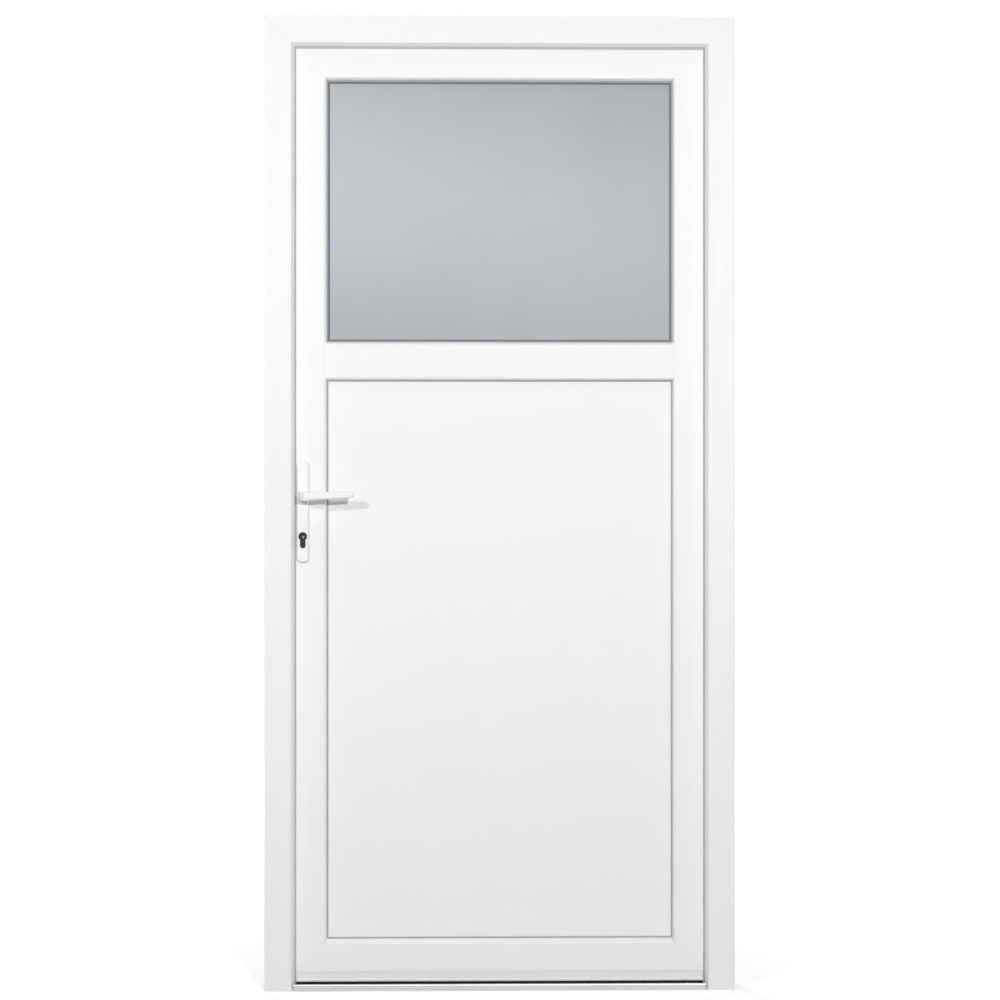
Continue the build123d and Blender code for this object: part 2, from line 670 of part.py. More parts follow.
nodes = {
    "frame_lock_jamb": lock_jamb,
    "frame_hinge_jamb": hinge_jamb,
    "frame_head": frame_head,
    "frame_seal": frame_seal(),
    "threshold_base": threshold_base(),
    "threshold_tread": threshold_tread(),
    "strike_plate": strike_plate,
    "bolt_keeps": keeps,
    "lock_stile": lock_stile,
    "hinge_stile": hinge_stile,
    "top_rail": leaf_bars["top"],
    "mid_rail": middle_rail,
    "bottom_rail": bottom_rail(),
    "leaf_seal": leaf_seal(),
    "seal_carrier": seal_carrier(),
    "bottom_brush": bottom_brush(),
    "glass_outer_pane": sheet(glass_edge, (INFILL_OUT, INFILL_OUT + PANE)),
    "glass_inner_pane": sheet(glass_edge, (INFILL_IN - PANE, INFILL_IN)),
    "glass_spacer": sheet(glass_edge, (INFILL_OUT + PANE, INFILL_IN - PANE))
    - sheet(grow(glass_edge, -SPACER_WIDTH), (INFILL_OUT + PANE, INFILL_IN - PANE)),
    "lower_panel": sheet(panel_edge, (INFILL_OUT, INFILL_IN)),
    "lock_cylinder": lock_cylinder(),
    "lock_faceplate": lock_faceplate(),
    "latch_bolt": latch_bolt(),
    "dead_bolt": dead_bolt(),
    "outer_handle_plate": handle_plate(LEAF_OUT, -1),
    "inner_handle_plate": handle_plate(LEAF_IN, 1),
    "outer_lever": lever(LEAF_OUT, -1),
    "inner_lever": lever(LEAF_IN, 1),
    "lever_spindle": spindle_bar(),
}
for area, opening in (("glass", glass_opening), ("panel", panel_opening)):
    nodes[area + "_outer_gasket"] = gasket_ring(opening, (LIP_BACK, INFILL_OUT))
    nodes[area + "_inner_gasket"] = gasket_ring(opening, (INFILL_IN, BEAD_OUT))
    for side_name, bead in beads(opening).items():
        nodes[area + "_bead_" + side_name] = bead
upper_hinge = FRAME_HEIGHT - UPPER_HINGE_BELOW_TOP
middle_hinge = (LOWER_HINGE_HEIGHT + upper_hinge) / 2
hinge_places = (("lower", LOWER_HINGE_HEIGHT), ("middle", middle_hinge), ("upper", upper_hinge))
for place, hinge_z in hinge_places:
    nodes["hinge_frame_half_" + place] = hinge_frame_half(hinge_z)
    nodes["hinge_leaf_half_" + place] = hinge_leaf_half(hinge_z)

os.makedirs("parts", exist_ok=True)
for node_name, solid in nodes.items():
    export_step(solid, os.path.join("parts", node_name + ".step"))
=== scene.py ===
import math
import bpy
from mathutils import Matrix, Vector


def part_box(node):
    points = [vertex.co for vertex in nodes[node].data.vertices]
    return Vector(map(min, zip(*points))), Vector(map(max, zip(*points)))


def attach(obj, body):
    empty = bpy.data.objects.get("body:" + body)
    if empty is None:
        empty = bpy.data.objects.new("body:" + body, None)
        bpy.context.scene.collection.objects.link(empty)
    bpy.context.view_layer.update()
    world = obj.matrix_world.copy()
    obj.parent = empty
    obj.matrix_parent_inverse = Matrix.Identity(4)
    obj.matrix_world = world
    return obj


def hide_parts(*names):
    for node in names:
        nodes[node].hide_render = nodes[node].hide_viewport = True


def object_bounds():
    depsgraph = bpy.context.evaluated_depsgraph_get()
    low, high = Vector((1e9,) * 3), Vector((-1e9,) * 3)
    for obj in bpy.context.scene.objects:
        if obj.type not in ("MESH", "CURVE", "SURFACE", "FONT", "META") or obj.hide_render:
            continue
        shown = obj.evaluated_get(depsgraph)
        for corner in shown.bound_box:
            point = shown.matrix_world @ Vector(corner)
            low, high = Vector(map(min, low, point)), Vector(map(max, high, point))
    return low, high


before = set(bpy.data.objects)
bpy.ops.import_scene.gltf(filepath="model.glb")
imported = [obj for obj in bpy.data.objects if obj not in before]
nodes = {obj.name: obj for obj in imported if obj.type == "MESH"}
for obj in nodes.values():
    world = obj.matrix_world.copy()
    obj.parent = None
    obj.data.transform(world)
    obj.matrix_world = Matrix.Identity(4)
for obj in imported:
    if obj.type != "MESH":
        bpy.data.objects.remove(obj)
cad_low, cad_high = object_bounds()


# Frame jambs and head
# Extruded hard white plastic of one section, mitred and welded at the two top corners.
# The weld is planed off flush and leaves a hairline; the die leaves faint lines along each bar.

FRAME_BARS = {"Z": ["frame_lock_jamb", "frame_hinge_jamb"], "X": ["frame_head"]}
PLASTIC_WHITE = (0.845, 0.848, 0.855, 1.0)
PLASTIC_WARM = (0.860, 0.860, 0.858, 1.0)
SEAM_GREY = (0.74, 0.745, 0.755, 1.0)
SEAM_WIDTH = 0.0007
SEAM_FULL_SHARE = 0.25
DIE_LINES_ACROSS = 420.0
DIE_LINES_ALONG = 5.0
TONE_PATCH = 2.2
PLASTIC_ROUGHNESS = (0.4, 0.52)
PLASTIC_SHINE = 0.36
DIE_LINE_BUMP = 0.05
DIE_LINE_DEPTH = 0.00006
HALF_WIDTH = cad_high.x
FRAME_TOP = cad_high.z
BELOW_FLOOR = -1.0
NOISE_LOW = 0.3
NOISE_HIGH = 0.7


def add(tree, kind, wires=None, **settings):
    """Adds a node, sets its settings, and gives each input a constant or another node's output."""
    node = tree.nodes.new(kind)
    for setting, value in settings.items():
        setattr(node, setting, value)
    for socket, value in (wires or {}).items():
        if isinstance(value, bpy.types.NodeSocket):
            tree.links.new(value, node.inputs[socket])
        else:
            node.inputs[socket].default_value = value
    return node


def new_finish(name, **constants):
    """A new node material, its tree, its shader with constants set, and the place on the piece."""
    material = bpy.data.materials.new(name)
    material.use_nodes = True
    tree = material.node_tree
    shader = tree.nodes["Principled BSDF"]
    for socket, value in constants.items():
        shader.inputs[socket.replace("_", " ").title().replace("Ior", "IOR")].default_value = value
    place = add(tree, "ShaderNodeTexCoord").outputs["Object"]
    return material, tree, shader, place


def calc(tree, operation, first, second=0.0):
    """One step of arithmetic on values that change over the surface."""
    return add(tree, "ShaderNodeMath", {0: first, 1: second}, operation=operation).outputs[0]


def speckle(tree, place, scale, detail=3.0):
    """Noise over the piece; the scale is repeats per metre, one number or one for each direction."""
    spread = scale if isinstance(scale, tuple) else (scale, scale, scale)
    stretched = add(tree, "ShaderNodeMapping", {"Vector": place, "Scale": spread}).outputs[0]
    noise = add(tree, "ShaderNodeTexNoise", {"Vector": stretched, "Scale": 1.0, "Detail": detail})
    return noise.outputs["Fac"]


def between(tree, factor, low, high):
    """A value that runs from low to high over the span where noise mostly lies."""
    wires = {"Value": factor, "From Min": NOISE_LOW, "From Max": NOISE_HIGH, "To Min": low, "To Max": high}
    return add(tree, "ShaderNodeMapRange", wires).outputs[0]


def blend_colours(tree, factor, first, second):
    """A mix of two colours, each a constant or another node's output."""
    node = add(tree, "ShaderNodeMix", {0: factor}, data_type="RGBA")
    for socket, value in ((6, first), (7, second)):
        if isinstance(value, bpy.types.NodeSocket):
            tree.links.new(value, node.inputs[socket])
        else:
            node.inputs[socket].default_value = value
    return node.outputs[2]


def roughen(tree, shader, height, strength, depth):
    """Fine relief on the surface, from a height that changes over it."""
    wires = {"Height": height, "Strength": strength, "Distance": depth}
    bump = add(tree, "ShaderNodeBump", wires)
    tree.links.new(bump.outputs[0], shader.inputs["Normal"])


def hairline(tree, distance, width):
    """1 on a line, fading to 0 one width to each side of it."""
    off_line = calc(tree, "ABSOLUTE", distance)
    full = width * SEAM_FULL_SHARE
    wires = {"Value": off_line, "From Min": full, "From Max": width, "To Min": 1.0, "To Max": 0.0}
    return add(tree, "ShaderNodeMapRange", wires).outputs[0]


def corner_seams(tree, place, half, low, high, width):
    """The 45 degree joint lines at the corners of an upright rectangle of bars."""
    split = add(tree, "ShaderNodeSeparateXYZ", {0: place})
    from_side = calc(tree, "SUBTRACT", half, calc(tree, "ABSOLUTE", split.outputs["X"]))
    from_bottom = calc(tree, "SUBTRACT", split.outputs["Z"], low)
    from_top = calc(tree, "SUBTRACT", high, split.outputs["Z"])
    from_end = calc(tree, "MINIMUM", from_bottom, from_top)
    return hairline(tree, calc(tree, "SUBTRACT", from_side, from_end), width)


def white_plastic(name, along, corners, line=None):
    """Smooth white profile plastic: die lines along the bar, soft tone patches, hairline weld seams."""
    material, tree, shader, place = new_finish(name, ior=1.5, specular_ior_level=PLASTIC_SHINE)
    across = {"X": (DIE_LINES_ALONG, DIE_LINES_ACROSS, DIE_LINES_ACROSS)}
    across["Z"] = across["X"][::-1]
    die_lines = speckle(tree, place, across[along])
    patches = speckle(tree, place, TONE_PATCH, detail=1.0)
    tone = blend_colours(tree, patches, PLASTIC_WHITE, PLASTIC_WARM)
    seams = corner_seams(tree, place, *corners, SEAM_WIDTH)
    if line:
        seams = calc(tree, "MAXIMUM", seams, line(tree, place))
    tone = blend_colours(tree, seams, tone, SEAM_GREY)
    tree.links.new(tone, shader.inputs["Base Color"])
    tree.links.new(between(tree, die_lines, *PLASTIC_ROUGHNESS), shader.inputs["Roughness"])
    relief = calc(tree, "SUBTRACT", die_lines, seams)
    roughen(tree, shader, relief, DIE_LINE_BUMP, DIE_LINE_DEPTH)
    return material


def dress(names, material):
    """Gives CAD nodes one finish."""
    for name in names:
        nodes[name].data.materials.clear()
        nodes[name].data.materials.append(material)


frame_corners = (HALF_WIDTH, BELOW_FLOOR, FRAME_TOP)
for along, bar_names in FRAME_BARS.items():
    dress(bar_names, white_plastic("frame_plastic_" + along, along, frame_corners))


# Rubber seals of frame and leaf, and the gaskets of glass and panel
# Soft light grey extrusions, pressed into grooves, with a dull skin and a trace of powder.
# The gaskets, pressed hard against glass and panel, are given a darker grey than the seals.

SEALS = ["frame_seal", "leaf_seal"]
SEAL_GREYS = (0.50, 0.502, 0.51, 1.0), (0.58, 0.582, 0.59, 1.0)
GASKETS = ["glass_outer_gasket", "glass_inner_gasket", "panel_outer_gasket", "panel_inner_gasket"]
GASKET_GREYS = (0.36, 0.362, 0.37, 1.0), (0.44, 0.442, 0.45, 1.0)
RUBBER_MOTTLE = 260.0
RUBBER_ROUGHNESS = (0.5, 0.68)
RUBBER_GRAIN = 1900.0
RUBBER_GRAIN_BUMP = 0.12
RUBBER_GRAIN_DEPTH = 0.0001


def seal_rubber(name, greys):
    material, tree, shader, place = new_finish(name, ior=1.45)
    mottle = speckle(tree, place, RUBBER_MOTTLE)
    grain = speckle(tree, place, RUBBER_GRAIN)
    tree.links.new(blend_colours(tree, mottle, *greys), shader.inputs["Base Color"])
    tree.links.new(between(tree, mottle, *RUBBER_ROUGHNESS), shader.inputs["Roughness"])
    roughen(tree, shader, grain, RUBBER_GRAIN_BUMP, RUBBER_GRAIN_DEPTH)
    return material


dress(SEALS, seal_rubber("seal_rubber", SEAL_GREYS))
dress(GASKETS, seal_rubber("gasket_rubber", GASKET_GREYS))


# Threshold base
# A low aluminium extrusion with a rounded nose, satin anodised, screwed down between the jambs.
# The finish runs along its length in fine scratches.

ALUMINIUM = (0.475, 0.48, 0.49, 1.0)
ALUMINIUM_BRIGHT = (0.575, 0.58, 0.59, 1.0)
ALUMINIUM_ROUGHNESS = (0.3, 0.46)
SCRATCHES = (7.0, 1400.0, 1400.0)
SCRATCH_BUMP = 0.1
SCRATCH_DEPTH = 0.00005


def satin_aluminium(name):
    material, tree, shader, place = new_finish(name, metallic=1.0)
    scratches = speckle(tree, place, SCRATCHES, detail=4.0)
    tree.links.new(blend_colours(tree, scratches, ALUMINIUM, ALUMINIUM_BRIGHT), shader.inputs["Base Color"])
    tree.links.new(between(tree, scratches, *ALUMINIUM_ROUGHNESS), shader.inputs["Roughness"])
    roughen(tree, shader, scratches, SCRATCH_BUMP, SCRATCH_DEPTH)
    return material


dress(["threshold_base"], satin_aluminium("satin_aluminium"))


# Threshold tread
# A ribbed black plastic strip clipped into the base, with a fine moulded grain against slipping.

TREAD_BLACK = (0.014, 0.014, 0.015, 1.0)
TREAD_WORN = (0.034, 0.034, 0.035, 1.0)
TREAD_ROUGHNESS = (0.45, 0.62)
TREAD_SCUFFS = (9.0, 60.0, 60.0)
TREAD_GRAIN = 1300.0
TREAD_GRAIN_BUMP = 0.25
TREAD_GRAIN_DEPTH = 0.0002


def grained_black(name):
    material, tree, shader, place = new_finish(name, ior=1.47)
    grain = speckle(tree, place, TREAD_GRAIN)
    scuffs = speckle(tree, place, TREAD_SCUFFS)
    tree.links.new(blend_colours(tree, scuffs, TREAD_BLACK, TREAD_WORN), shader.inputs["Base Color"])
    tree.links.new(between(tree, grain, *TREAD_ROUGHNESS), shader.inputs["Roughness"])
    roughen(tree, shader, grain, TREAD_GRAIN_BUMP, TREAD_GRAIN_DEPTH)
    return material


dress(["threshold_tread"], grained_black("grained_black"))


# Strike plate, bolt keeps, faceplate, bolts and spindle
# Pressed and milled steel, zinc plated, with the cloudy spangle of the plating.

STEEL_PARTS = ["strike_plate", "bolt_keeps", "lock_faceplate", "latch_bolt", "dead_bolt", "lever_spindle"]
ZINC = (0.50, 0.51, 0.53, 1.0)
ZINC_BRIGHT = (0.62, 0.63, 0.64, 1.0)
ZINC_ROUGHNESS = (0.26, 0.42)
ZINC_CLOUDS = 70.0
ZINC_GRAIN = 900.0
ZINC_GRAIN_BUMP = 0.06
ZINC_GRAIN_DEPTH = 0.00005


def zinc_steel(name):
    material, tree, shader, place = new_finish(name, metallic=1.0)
    clouds = speckle(tree, place, ZINC_CLOUDS, detail=4.0)
    grain = speckle(tree, place, ZINC_GRAIN)
    tree.links.new(blend_colours(tree, clouds, ZINC, ZINC_BRIGHT), shader.inputs["Base Color"])
    tree.links.new(between(tree, clouds, *ZINC_ROUGHNESS), shader.inputs["Roughness"])
    roughen(tree, shader, grain, ZINC_GRAIN_BUMP, ZINC_GRAIN_DEPTH)
    return material


zinc = zinc_steel("zinc_steel")
dress(STEEL_PARTS, zinc)


# Leaf stiles and rails, and the seal carrier under the bottom rail
# The same white plastic as the frame: mitred and welded at four corners, with the mid rail let in
# between the stiles and welded along its two upright ends.

LEAF_BARS = {"Z": ["lock_stile", "hinge_stile"], "X": ["top_rail", "mid_rail", "bottom_rail", "seal_carrier"]}
MID_RAIL_END = 0.374
MID_RAIL_FACE_HALF = 0.0357
bottom_rail_low, bottom_rail_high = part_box("bottom_rail")
mitre_low = bottom_rail_low.z - (HALF_WIDTH - bottom_rail_high.x)
leaf_corners = (HALF_WIDTH, mitre_low, FRAME_TOP)
mid_low, mid_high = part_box("mid_rail")
mid_height = (mid_low.z + mid_high.z) / 2


def mid_rail_seam(tree, place):
    """The two upright weld lines where the mid rail's face meets the stiles."""
    split = add(tree, "ShaderNodeSeparateXYZ", {0: place})
    from_end = calc(tree, "SUBTRACT", calc(tree, "ABSOLUTE", split.outputs["X"]), MID_RAIL_END)
    from_middle = calc(tree, "ABSOLUTE", calc(tree, "SUBTRACT", split.outputs["Z"], mid_height))
    on_face = calc(tree, "LESS_THAN", from_middle, MID_RAIL_FACE_HALF)
    return calc(tree, "MULTIPLY", hairline(tree, from_end, SEAM_WIDTH), on_face)


for along, bar_names in LEAF_BARS.items():
    dress(bar_names, white_plastic("leaf_plastic_" + along, along, leaf_corners, mid_rail_seam))


# Glazing beads
# Four white plastic strips round the glass and four round the panel, cut at 45 degrees and pressed in
# from inside, so that a fine open joint shows at each corner.

BEAD_SIDES = {"Z": ("left", "right"), "X": ("top", "bottom")}

for area in ("glass", "panel"):
    bead_low, bead_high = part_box(area + "_bead_left")
    bead_corners = (-bead_low.x, bead_low.z, bead_high.z)
    for along, sides in BEAD_SIDES.items():
        bead_names = [area + "_bead_" + side for side in sides]
        dress(bead_names, white_plastic(area + "_bead_plastic_" + along, along, bead_corners))


# Lower panel
# A flat sandwich panel with a smooth white skin, held in the same rebate as the glass.

PANEL_WHITE = (0.86, 0.862, 0.868, 1.0)
PANEL_SHADE = (0.845, 0.848, 0.855, 1.0)
PANEL_ROUGHNESS = (0.42, 0.52)
PANEL_RIPPLE = 3.0
PANEL_PEEL = 800.0
PANEL_PEEL_BUMP = 0.04
PANEL_PEEL_DEPTH = 0.00006


def panel_skin(name):
    material, tree, shader, place = new_finish(name, ior=1.5, specular_ior_level=PLASTIC_SHINE)
    ripple = speckle(tree, place, PANEL_RIPPLE, detail=2.0)
    peel = speckle(tree, place, PANEL_PEEL)
    tree.links.new(blend_colours(tree, ripple, PANEL_SHADE, PANEL_WHITE), shader.inputs["Base Color"])
    tree.links.new(between(tree, peel, *PANEL_ROUGHNESS), shader.inputs["Roughness"])
    roughen(tree, shader, peel, PANEL_PEEL_BUMP, PANEL_PEEL_DEPTH)
    return material


dress(["lower_panel"], panel_skin("panel_skin"))


# Glass panes and spacer
# Double glazing: an outer pane with a satin etched face, a clear inner pane, and between them
# a folded aluminium spacer. The etching stops short of the spacer, whose dark seal shows as a line.

# The etched pane's colour carries a painted reflection: paler in a broad soft patch towards the upper left,
# greyer away from it.
ETCHED_GREY = (0.383, 0.412, 0.436, 1.0)
ETCHED_PAINTED_REFLECTION = (0.596, 0.631, 0.654, 1.0)
REFLECTION_MIDDLE = (-0.6, 0.0, 1.756)
REFLECTION_TILT = (0.0, 0.159, 0.0)
REFLECTION_RADII = (3.1, 1.0, 0.51)
ETCHED_CLOUDS = 3.5
ETCHED_CLOUDING = (0.2, 0.3)
ETCHED_ROUGHNESS = (0.5, 0.66)
ETCHED_SPARKLE = 2200.0
ETCHED_BUMP = 0.1
ETCHED_DEPTH = 0.0001
EDGE_SEAL_DARK = (0.16, 0.165, 0.17, 1.0)
EDGE_SEAL_WIDTH = 0.0230
CLEAR_TINT = (0.93, 0.965, 0.955, 1.0)
CLEAR_EDGE = (0.90, 0.955, 0.94, 1.0)
CLEAR_ROUGHNESS = (0.005, 0.02)
CLEAR_DRAW = 2.0


def from_pane_edge(tree, place):
    """The distance of a place on the outer pane from the pane's nearest edge."""
    low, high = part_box("glass_outer_pane")
    split = add(tree, "ShaderNodeSeparateXYZ", {0: place})
    from_side = calc(tree, "SUBTRACT", high.x, calc(tree, "ABSOLUTE", split.outputs["X"]))
    from_bottom = calc(tree, "SUBTRACT", split.outputs["Z"], low.z)
    from_top = calc(tree, "SUBTRACT", high.z, split.outputs["Z"])
    return calc(tree, "MINIMUM", from_side, calc(tree, "MINIMUM", from_bottom, from_top))


def etched_glass(name):
    material, tree, shader, place = new_finish(name, ior=1.5, transmission_weight=0.15)
    sparkle = speckle(tree, place, ETCHED_SPARKLE)
    clouds = speckle(tree, place, ETCHED_CLOUDS, detail=2.0)
    # Painted reflection: the etched face is painted paler near the patch's middle and greyer with distance
    # from it, plus random clouding.
    wires = {"Vector": place, "Location": REFLECTION_MIDDLE, "Rotation": REFLECTION_TILT, "Scale": REFLECTION_RADII}
    reflection_patch = add(tree, "ShaderNodeMapping", wires, vector_type="TEXTURE").outputs[0]
    from_middle = add(tree, "ShaderNodeVectorMath", {0: reflection_patch}, operation="LENGTH").outputs["Value"]
    reflection_and_clouds = calc(tree, "ADD", from_middle, between(tree, clouds, *ETCHED_CLOUDING))
    etched_and_reflection = blend_colours(tree, reflection_and_clouds, ETCHED_PAINTED_REFLECTION, ETCHED_GREY)
    on_seal = calc(tree, "LESS_THAN", from_pane_edge(tree, place), EDGE_SEAL_WIDTH)
    tree.links.new(blend_colours(tree, on_seal, etched_and_reflection, EDGE_SEAL_DARK), shader.inputs["Base Color"])
    tree.links.new(between(tree, sparkle, *ETCHED_ROUGHNESS), shader.inputs["Roughness"])
    roughen(tree, shader, sparkle, ETCHED_BUMP, ETCHED_DEPTH)
    return material


def clear_glass(name):
    material, tree, shader, place = new_finish(name, ior=1.5, transmission_weight=1.0)
    draw = speckle(tree, place, CLEAR_DRAW, detail=1.0)
    tree.links.new(blend_colours(tree, draw, CLEAR_TINT, CLEAR_EDGE), shader.inputs["Base Color"])
    tree.links.new(between(tree, draw, *CLEAR_ROUGHNESS), shader.inputs["Roughness"])
    return material


dress(["glass_outer_pane"], etched_glass("etched_glass"))
dress(["glass_inner_pane"], clear_glass("clear_glass"))
dress(["glass_spacer"], satin_aluminium("spacer_aluminium"))


# Handle plates, levers and hinges
# Cast and pressed metal with a white baked coat, slightly pebbled as such coats are.

COATED = ["outer_handle_plate", "inner_handle_plate", "outer_lever", "inner_lever"]
for place_name in ("lower", "middle", "upper"):
    COATED += ["hinge_frame_half_" + place_name, "hinge_leaf_half_" + place_name]
COAT_WHITE = (0.875, 0.875, 0.878, 1.0)
COAT_SHADE = (0.85, 0.85, 0.855, 1.0)
COAT_ROUGHNESS = (0.28, 0.36)
COAT_PEBBLES = 1100.0
COAT_BUMP = 0.06
COAT_DEPTH = 0.0001


def baked_coat(name):
    material, tree, shader, place = new_finish(name, ior=1.5)
    pebbles = speckle(tree, place, COAT_PEBBLES, detail=2.0)
    tree.links.new(blend_colours(tree, pebbles, COAT_SHADE, COAT_WHITE), shader.inputs["Base Color"])
    tree.links.new(between(tree, pebbles, *COAT_ROUGHNESS), shader.inputs["Roughness"])
    roughen(tree, shader, pebbles, COAT_BUMP, COAT_DEPTH)
    return material


dress(COATED, baked_coat("baked_coat"))


# Profile cylinder
# A solid brass lock cylinder, dark nickel plated, with a painted highlight: a bright round spot on the face
# of its plug.

NICKEL_DARK = (0.016, 0.014, 0.012, 1.0)
NICKEL_WORN = (0.045, 0.040, 0.035, 1.0)
PLUG_PAINTED_HIGHLIGHT = (0.24, 0.225, 0.205, 1.0)
NICKEL_ROUGHNESS = (0.26, 0.4)
NICKEL_TURNING = (600.0, 40.0, 600.0)
NICKEL_BUMP = 0.08
NICKEL_DEPTH = 0.0001
# Size and offset of the painted highlight on the plug face.
HIGHLIGHT_RADIUS = 0.0026
HIGHLIGHT_OFFSET = 0.0013
cylinder_low, cylinder_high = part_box("lock_cylinder")
plug_x = (cylinder_low.x + cylinder_high.x) / 2
plug_z = cylinder_high.z - (cylinder_high.x - cylinder_low.x) / 2


def dark_nickel(name):
    material, tree, shader, place = new_finish(name, metallic=1.0)
    turning = speckle(tree, place, NICKEL_TURNING)
    split = add(tree, "ShaderNodeSeparateXYZ", {0: place})
    # Painted highlight: a bright round spot a little right of and below the middle of the plug.
    across = calc(tree, "SUBTRACT", split.outputs["X"], plug_x + HIGHLIGHT_OFFSET)
    above = calc(tree, "SUBTRACT", split.outputs["Z"], plug_z - HIGHLIGHT_OFFSET)
    squares = calc(tree, "ADD", calc(tree, "MULTIPLY", across, across), calc(tree, "MULTIPLY", above, above))
    painted_highlight = calc(tree, "LESS_THAN", squares, HIGHLIGHT_RADIUS ** 2)
    plating = blend_colours(tree, turning, NICKEL_DARK, NICKEL_WORN)
    tree.links.new(blend_colours(tree, painted_highlight, plating, PLUG_PAINTED_HIGHLIGHT), shader.inputs["Base Color"])
    tree.links.new(between(tree, turning, *NICKEL_ROUGHNESS), shader.inputs["Roughness"])
    roughen(tree, shader, turning, NICKEL_BUMP, NICKEL_DEPTH)
    return material


dress(["lock_cylinder"], dark_nickel("dark_nickel"))


# Brush under the leaf
# Black nylon bristles clamped in the seal carrier, which sweep the tread as the leaf swings.

BRISTLE_BLACK = (0.012, 0.012, 0.013, 1.0)
BRISTLE_GREY = (0.04, 0.04, 0.042, 1.0)
BRISTLE_ROUGHNESS = (0.35, 0.55)
BRISTLE_STRANDS = (1500.0, 1500.0, 30.0)
BRISTLE_ROWS = 5
BRISTLES_A_ROW = 640
BRISTLE_THICKNESS = 0.0009
BRISTLE_JITTER = 0.0005
BRISTLE_LEAN = 0.07
BRISTLE_SIDES = 4
BRISTLE_TAPER = 0.55
BRISTLE_SEED = 7


def nylon(name):
    material, tree, shader, place = new_finish(name, ior=1.5)
    strands = speckle(tree, place, BRISTLE_STRANDS)
    tree.links.new(blend_colours(tree, strands, BRISTLE_BLACK, BRISTLE_GREY), shader.inputs["Base Color"])
    tree.links.new(between(tree, strands, *BRISTLE_ROUGHNESS), shader.inputs["Roughness"])
    return material


def new_geometry_tree(name, sizes):
    """An empty geometry tree with named inputs, and the identifier of each."""
    tree = bpy.data.node_groups.new(name, "GeometryNodeTree")
    tree.interface.new_socket("Geometry", in_out="INPUT", socket_type="NodeSocketGeometry")
    tree.interface.new_socket("Geometry", in_out="OUTPUT", socket_type="NodeSocketGeometry")
    keys = {}
    for label, kind in sizes.items():
        made = tree.interface.new_socket(label, in_out="INPUT", socket_type="NodeSocket" + kind)
        keys[label] = made.identifier
    return tree, tree.nodes.new("NodeGroupInput").outputs, keys


def end_tree(tree, instances, material):
    """Makes the instances real, gives them their material and ends the tree."""
    real = add(tree, "GeometryNodeRealizeInstances", {0: instances}).outputs[0]
    dressed = add(tree, "GeometryNodeSetMaterial", {"Geometry": real, "Material": material}).outputs[0]
    add(tree, "NodeGroupOutput", {0: dressed})


def grown_mesh(name, start_mesh, tree, keys, values):
    """A plain mesh object from a geometry tree that starts on a mesh."""
    carrier = bpy.data.objects.new(name + "_start", start_mesh)
    bpy.context.scene.collection.objects.link(carrier)
    modifier = carrier.modifiers.new("tree", "NODES")
    modifier.node_group = tree
    for label, value in values.items():
        modifier[keys[label]] = value
    evaluated = carrier.evaluated_get(bpy.context.evaluated_depsgraph_get())
    mesh = bpy.data.meshes.new_from_object(evaluated)
    bpy.data.objects.remove(carrier)
    grown = bpy.data.objects.new(name, mesh)
    bpy.context.scene.collection.objects.link(grown)
    return grown


def either_way(tree, most, seed):
    """A random vector for each instance, up to the most in each direction, either way."""
    least = add(tree, "ShaderNodeVectorMath", {0: most, "Scale": -1.0}, operation="SCALE").outputs[0]
    wires = {0: least, 1: most, "Seed": seed}
    return add(tree, "FunctionNodeRandomValue", wires, data_type="FLOAT_VECTOR").outputs[0]


def bristle_tree(material):
    """Rows of fine tapered bristles that hang from a strip, each a little out of line."""
    sizes = {
        "Length": "Float", "Width": "Float", "Drop": "Float", "Thickness": "Float",
        "Rows": "Int", "Bristles a Row": "Int", "Jitter": "Vector", "Lean": "Vector", "Seed": "Int",
        "Middle of Root": "Vector",
    }
    tree, given, keys = new_geometry_tree("bristle_rows", sizes)
    grid = add(tree, "GeometryNodeMeshGrid", {
        "Size X": given["Length"], "Size Y": given["Width"],
        "Vertices X": given["Bristles a Row"], "Vertices Y": given["Rows"],
    }).outputs[0]
    shake = either_way(tree, given["Jitter"], given["Seed"])
    wires = {"Geometry": grid, "Offset": given["Middle of Root"]}
    placed = add(tree, "GeometryNodeSetPosition", wires).outputs[0]
    shaken = add(tree, "GeometryNodeSetPosition", {"Geometry": placed, "Offset": shake}).outputs[0]
    radius = calc(tree, "MULTIPLY", given["Thickness"], 0.5)
    tip = calc(tree, "MULTIPLY", radius, BRISTLE_TAPER)
    cone = add(tree, "GeometryNodeMeshCone", {
        "Vertices": BRISTLE_SIDES, "Radius Top": radius, "Radius Bottom": tip, "Depth": given["Drop"],
    }).outputs["Mesh"]
    hang = add(tree, "ShaderNodeCombineXYZ", {"Z": calc(tree, "MULTIPLY", given["Drop"], -1.0)}).outputs[0]
    bristle = add(tree, "GeometryNodeTransform", {"Geometry": cone, "Translation": hang}).outputs[0]
    lean = either_way(tree, given["Lean"], given["Seed"])
    turn = add(tree, "FunctionNodeEulerToRotation", {0: lean}).outputs[0]
    rows = add(tree, "GeometryNodeInstanceOnPoints", {
        "Points": shaken, "Instance": bristle, "Rotation": turn,
    }).outputs[0]
    end_tree(tree, rows, material)
    return tree, keys


